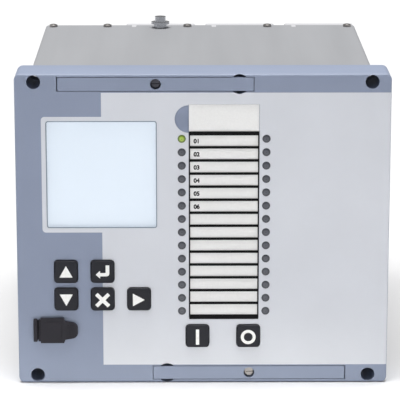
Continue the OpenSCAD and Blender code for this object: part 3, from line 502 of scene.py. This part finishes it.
# Each symbol and how far it sits above the key's middle
SYMBOLS = {
    "key_up": (triangle_symbol(0), 0.3),
    "key_down": (triangle_symbol(180), -0.4),
    "key_right": (triangle_symbol(-90), -0.2),
    "key_enter": (enter_symbol(), 0.3),
    "key_cancel": (cross_symbol(), -0.3),
    "key_close": (bar_symbol(), -0.4),
    "key_open": (ring_symbol(), -0.4),
}


def key_symbols():
    for key, (loops, rise) in SYMBOLS.items():
        low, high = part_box(key)
        scaled = [[(x * MM, y * MM) for x, y in loop] for loop in loops]
        mesh = flat_print(key + "_symbol", scaled, RAISED)
        mesh.transform(faced_front((low.x + high.x) / 2, low.y, (low.z + high.z) / 2 + rise * MM))
        piece(key + "_symbol", mesh, KEY_PRINT, key)


# Label card: plain numbers in the first rows
NUMBERED_ROWS = 6
LABEL_PITCH = 7.45 * MM
FIRST_BASELINE = 6.6 * MM
DIGIT_SIZE = 3.3 * MM
DIGIT_INDENT = 2.6 * MM
# How far the font's outlines are pushed out, and then those of the mesh
DIGIT_OFFSET = 0.07 * MM
DIGIT_WEIGHT = 0.1 * MM
# A face whose normal leans less than this out of the plane is a side wall
WALL_LEAN = 0.5


def bolder(mesh, growth):
    """Pushes the outline of a flat shape outwards."""
    form = bmesh.new()
    form.from_mesh(mesh)
    form.normal_update()
    moves = []
    for vert in form.verts:
        walls = [face.normal for face in vert.link_faces if abs(face.normal.z) < WALL_LEAN]
        if walls:
            moves.append((vert, sum(walls, Vector()).normalized() * growth))
    for vert, move in moves:
        vert.co += move
    form.to_mesh(mesh)
    form.free()


def label_numbers():
    low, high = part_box("label_frame")
    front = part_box("label_card")[0].y
    for row in range(NUMBERED_ROWS):
        text = bpy.data.curves.new(f"label_number_{row + 1}", "FONT")
        text.body = f"{row + 1:02d}"
        text.size = DIGIT_SIZE
        text.offset = DIGIT_OFFSET
        text.extrude = INK
        mesh = settled_mesh(text.name, text)
        bolder(mesh, DIGIT_WEIGHT)
        baseline = high.z - FIRST_BASELINE - row * LABEL_PITCH
        mesh.transform(faced_front(low.x + DIGIT_INDENT, front, baseline))
        piece(text.name, mesh, FRAME_INK, "element")


# Printed bar on the overlay that makes the foot of the label frame as heavy as its head
FOOT_BAR = 0.9 * MM
FOOT_LAP = 0.2 * MM


def frame_foot():
    low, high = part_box("label_frame")
    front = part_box("fascia_overlay")[0].y - INK
    height = FOOT_BAR + FOOT_LAP
    mesh = flat_print("frame_foot", [round_box(high.x - low.x, height, FOOT_LAP)], INK)
    mesh.transform(faced_front((low.x + high.x) / 2, front, low.z + FOOT_LAP - height / 2))
    piece("frame_foot", mesh, FRAME_INK, "element")


# Print round the display window: a pale mask with round corners, and inside it a line of painted shade
# where the window's recess step casts its shadow
WINDOW_LIP = 1.4 * MM
MASK = 0.05 * MM
MASK_CORNER = 1.5 * MM
BORDER = 0.6 * MM


def window_prints():
    low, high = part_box("lcd_window")
    width = high.x - low.x - 2 * WINDOW_LIP
    height = high.z - low.z - 2 * WINDOW_LIP
    opening = round_box(width, height, MASK)
    line_width = width - 2 * MASK
    line_height = height - 2 * MASK
    outer = round_box(line_width, line_height, MASK_CORNER)
    inner = round_box(line_width - 2 * BORDER, line_height - 2 * BORDER, MASK_CORNER - BORDER)
    prints = {
        "window_mask": ([opening, outer], FINISHES["light_panel"], "light_panel"),
        # The second print is painted shade along the window's recess step
        "window_recess_shade": ([outer, inner], RECESS_SHADE_INK, "black_plastic"),
    }
    for name, (loops, finish, slot) in prints.items():
        mesh = flat_print(name, loops, INK)
        mesh.transform(faced_front((low.x + high.x) / 2, low.y - INK, (low.z + high.z) / 2))
        piece(name, mesh, finish, "element")


# Rubber web between the strap and the flap of the socket cover, flat on the fascia
WEB_LAP = 0.4 * MM
WEB_INSET = 0.8 * MM
WEB_CORNER = 0.5 * MM


def hinge_web():
    low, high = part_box("usb_cover_anchor")
    left = high.x - WEB_LAP
    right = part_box("usb_cover")[0].x + WEB_LAP
    outline = round_box(right - left, high.z - low.z - 2 * WEB_INSET, WEB_CORNER)
    mesh = flat_print("hinge_web", [outline], RAISED)
    mesh.transform(faced_front((left + right) / 2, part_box("fascia")[0].y, (low.z + high.z) / 2))
    piece("hinge_web", mesh, FINISHES["dark_rubber"], "element")


def blocks_mesh(name, blocks, bevel):
    """One mesh of chamfered blocks, each given by its middle and its size."""
    form = bmesh.new()
    for middle, size in blocks:
        stretch = Matrix.Translation(middle) @ Matrix.Diagonal((*size, 1))
        made = bmesh.ops.create_cube(form, size=1, matrix=stretch)
        edges = {edge for vert in made["verts"] for edge in vert.link_edges}
        bmesh.ops.bevel(form, geom=list(edges), offset=bevel, segments=1, affect="EDGES")
    mesh = bpy.data.meshes.new(name)
    form.to_mesh(mesh)
    form.free()
    return mesh


# Spring contacts of the network sockets
JACK_HEIGHT = 13.6 * MM
CONTACTS = 8
CONTACT_PITCH = 1.02 * MM
CONTACT_SIZE = Vector((0.45, 9.0, 0.35)) * MM
CONTACT_SINK = 2.0 * MM
CONTACT_RISE = 2.55 * MM
CONTACT_BEVEL = 0.06 * MM


def jack_contacts():
    """Rows of spring contacts over the floor of each network socket."""
    low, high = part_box("ethernet_jacks")
    blocks = []
    for jack_foot in (low.z, high.z - JACK_HEIGHT):
        for i in range(CONTACTS):
            x = (low.x + high.x) / 2 + (i - (CONTACTS - 1) / 2) * CONTACT_PITCH
            y = high.y - CONTACT_SINK - CONTACT_SIZE.y / 2
            z = jack_foot + CONTACT_RISE + CONTACT_SIZE.z / 2
            blocks.append((Vector((x, y, z)), CONTACT_SIZE))
    mesh = blocks_mesh("jack_contacts", blocks, CONTACT_BEVEL)
    piece("jack_contacts", mesh, CONTACT_GOLD, "case")


# Slotted screws over the wire holes of the serial terminal
CLAMP_SCREWS = 4
CLAMP_PITCH = 4.8 * MM
CLAMP_RADIUS = 1.4 * MM
CLAMP_RISE = 2.9 * MM
CLAMP_HALF_HEIGHT = 0.25 * MM
CLAMP_STEPS = 12
# Degrees from the slot's middle line to the start of each half head, and those of the half head
SLOT_ANGLE = 12
HALF_ANGLE = 180 - 2 * SLOT_ANGLE


def clamp_screws():
    """Two halves for each head, with the slot between them."""
    low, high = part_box("serial_terminal")
    halves = []
    for i in range(CLAMP_SCREWS):
        x = (i - (CLAMP_SCREWS - 1) / 2) * CLAMP_PITCH
        for start in (SLOT_ANGLE, 180 + SLOT_ANGLE):
            halves.append(arc(x, 0, CLAMP_RADIUS, start, start + HALF_ANGLE, CLAMP_STEPS))
    mesh = flat_print("clamp_screws", halves, CLAMP_HALF_HEIGHT)
    mesh.transform(faced_front((low.x + high.x) / 2, high.y, (low.z + high.z) / 2 + CLAMP_RISE))
    piece("clamp_screws", mesh, LEAD_TIN, "case")


# Boards with little parts, and the side of each that the parts are on
BOARDS = {"power_board": 1, "processor_board": 1, "relay_board": -1, "analogue_board": -1}
LITTLE_PART = Vector((0.9, 3.2, 1.6)) * MM
LITTLE_BEVEL = 0.15 * MM
LITTLE_END = Vector((0.95, 0.6, 1.65)) * MM
LITTLE_END_BEVEL = 0.1 * MM
# Depths of the upright rows, half their height, the step along them and the share of places filled
LITTLE_ROWS = [depth * MM for depth in (12, 26, 128, 138)]
LITTLE_REACH = 58 * MM
LITTLE_STEP = 5.2 * MM
LITTLE_SHARE = 0.7
LITTLE_SEED = 11


def board_parts():
    """Chip resistors and capacitors with tinned ends, on the front and back strips of the boards."""
    draw = random.Random(LITTLE_SEED)
    bodies = []
    ends = []
    for board, side in BOARDS.items():
        low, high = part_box(board)
        face = high.x if side > 0 else low.x
        for y in LITTLE_ROWS:
            z = -LITTLE_REACH
            while z < LITTLE_REACH:
                if draw.random() < LITTLE_SHARE:
                    middle = Vector((face + side * LITTLE_PART.x / 2, y, z))
                    bodies.append((middle, LITTLE_PART))
                    for s in (-1, 1):
                        ends.append((middle + Vector((0, s * LITTLE_PART.y / 2, 0)), LITTLE_END))
                z += LITTLE_STEP
    body_mesh = blocks_mesh("board_parts", bodies, LITTLE_BEVEL)
    piece("board_parts", body_mesh, PART_TAN, "element")
    end_mesh = blocks_mesh("board_part_ends", ends, LITTLE_END_BEVEL)
    piece("board_part_ends", end_mesh, LEAD_TIN, "element")


# Corners of a solid's faces closer than this are one corner
SAME_CORNER = 1e-6


def solid_boxes(node):
    """The bounds of each separate solid of a node."""
    form = bmesh.new()
    form.from_mesh(frame["nodes"][node].data)
    bmesh.ops.remove_doubles(form, verts=form.verts, dist=SAME_CORNER)
    unseen = set(form.verts)
    boxes = []
    while unseen:
        waiting = [unseen.pop()]
        places = []
        while waiting:
            vert = waiting.pop()
            places.append(vert.co.copy())
            near = {edge.other_vert(vert) for edge in vert.link_edges} & unseen
            unseen -= near
            waiting += near
        boxes.append([Vector(pick(axis) for axis in zip(*places)) for pick in (min, max)])
    form.free()
    return sorted(boxes, key=lambda box: tuple(box[0]))


LEAD_PITCH = 1.27 * MM
LEAD_LENGTH = 1.5 * MM
LEAD_WIDTH = 0.5 * MM
LEAD_THICK = 0.3 * MM
LEAD_BEVEL = 0.06 * MM


def chip_leads():
    """Flat leads on the board's face, on all four sides of a square chip and on two of a long one."""
    blocks = []
    for low, high in solid_boxes("processor_chips"):
        middle = (low + high) / 2
        size = high - low
        sides = [(AXIS_Y, AXIS_Z)]
        if abs(size.y - size.z) < LEAD_PITCH:
            sides.append((AXIS_Z, AXIS_Y))
        for out, along in sides:
            count = int(size[along] / LEAD_PITCH) - 1
            lead = Vector((LEAD_THICK, LEAD_WIDTH, LEAD_WIDTH))
            lead[out] = LEAD_LENGTH
            for i in range(count):
                for s in (-1, 1):
                    place = Vector((low.x + LEAD_THICK / 2, middle.y, middle.z))
                    place[out] += s * (size[out] + LEAD_LENGTH) / 2
                    place[along] += (i - (count - 1) / 2) * LEAD_PITCH
                    blocks.append((place, lead))
    mesh = blocks_mesh("chip_leads", blocks, LEAD_BEVEL)
    piece("chip_leads", mesh, LEAD_TIN, "element")


key_symbols()
label_numbers()
frame_foot()
window_prints()
hinge_web()
jack_contacts()
clamp_screws()
board_parts()
chip_leads()
dress_nodes()


# Floor, light and camera
FLOOR_SIZE = 300.0
FLOOR_GAP = 0.3 * MM


def floor():
    mesh = bpy.data.meshes.new("floor")
    half = FLOOR_SIZE / 2
    z = cad_low.z - FLOOR_GAP
    corners = [(-half, -half, z), (half, -half, z), (half, half, z), (-half, half, z)]
    mesh.from_pydata(corners, [], [(0, 1, 2, 3)])
    made = bpy.data.objects.new("floor", mesh)
    bpy.context.scene.collection.objects.link(made)
    paint = Finish("floor_paint", srgb(211, 212, 215), roughness=0.8)
    paint.mottle(paint.noise(scale=3, detail=2), amount=0.01)
    mesh.materials.append(paint.material)


def light(name, kind, energy, place, aim, **settings):
    lamp = bpy.data.lights.new(name, kind)
    lamp.energy = energy
    for key, value in settings.items():
        setattr(lamp, key, value)
    made = bpy.data.objects.new(name, lamp)
    made.location = place
    made.rotation_euler = (Vector(aim) - Vector(place)).to_track_quat("-Z", "Y").to_euler()
    bpy.context.scene.collection.objects.link(made)


WORLD_COLOUR = (1, 1, 1, 1)
WORLD_LIGHT = 0.28
SKY_TINT = (1, 0.985, 0.955)
FILL_TINT = (1, 0.98, 0.9)
SKY_ANGLE = math.radians(50)
FILL_SPREAD = math.radians(15)


def studio():
    """A soft light from above, a low strip on the foot of the face and a pool on the floor before it."""
    scene = bpy.context.scene
    scene.world = bpy.data.worlds.new("studio")
    scene.world.use_nodes = True
    background = scene.world.node_tree.nodes["Background"]
    background.inputs["Color"].default_value = WORLD_COLOUR
    background.inputs["Strength"].default_value = WORLD_LIGHT
    scene.view_settings.view_transform = "Standard"
    light("sky", "SUN", energy=4.3, place=(-0.05, 0, 1), aim=(0, 0, 0), angle=SKY_ANGLE, color=SKY_TINT)
    light("low_fill", "AREA", energy=0.075, place=(-0.09, -0.65, -0.05), aim=(-0.07, -0.03, -0.128),
          shape="RECTANGLE", size=0.36, size_y=0.05, spread=FILL_SPREAD, color=FILL_TINT)
    light("floor_fill", "AREA", energy=1.7, place=(-0.1, -0.45, 0.8), aim=(-0.1, -0.45, 0),
          shape="RECTANGLE", size=0.9, size_y=0.8, spread=FILL_SPREAD)


# Camera fitted to the photograph's face corners and rear case corners
CAMERA_AIM = Vector((-1.6, -28.5, 17.5)) * MM
CAMERA_DISTANCE = 1.307
CAMERA_AZIMUTH = -0.37
CAMERA_ELEVATION = 13.8
CAMERA_LENS = 212.0
SENSOR_WIDTH = 36.0


def camera():
    turn = math.radians(CAMERA_AZIMUTH)
    tilt = math.radians(CAMERA_ELEVATION)
    back = Vector((math.sin(turn) * math.cos(tilt), -math.cos(turn) * math.cos(tilt), math.sin(tilt)))
    lens_data = bpy.data.cameras.new("camera")
    lens_data.lens = CAMERA_LENS
    lens_data.sensor_width = SENSOR_WIDTH
    made = bpy.data.objects.new("camera", lens_data)
    made.location = CAMERA_AIM + back * CAMERA_DISTANCE
    made.rotation_euler = (-back).to_track_quat("-Z", "Y").to_euler()
    bpy.context.scene.collection.objects.link(made)
    bpy.context.scene.camera = made


floor()
studio()
camera()
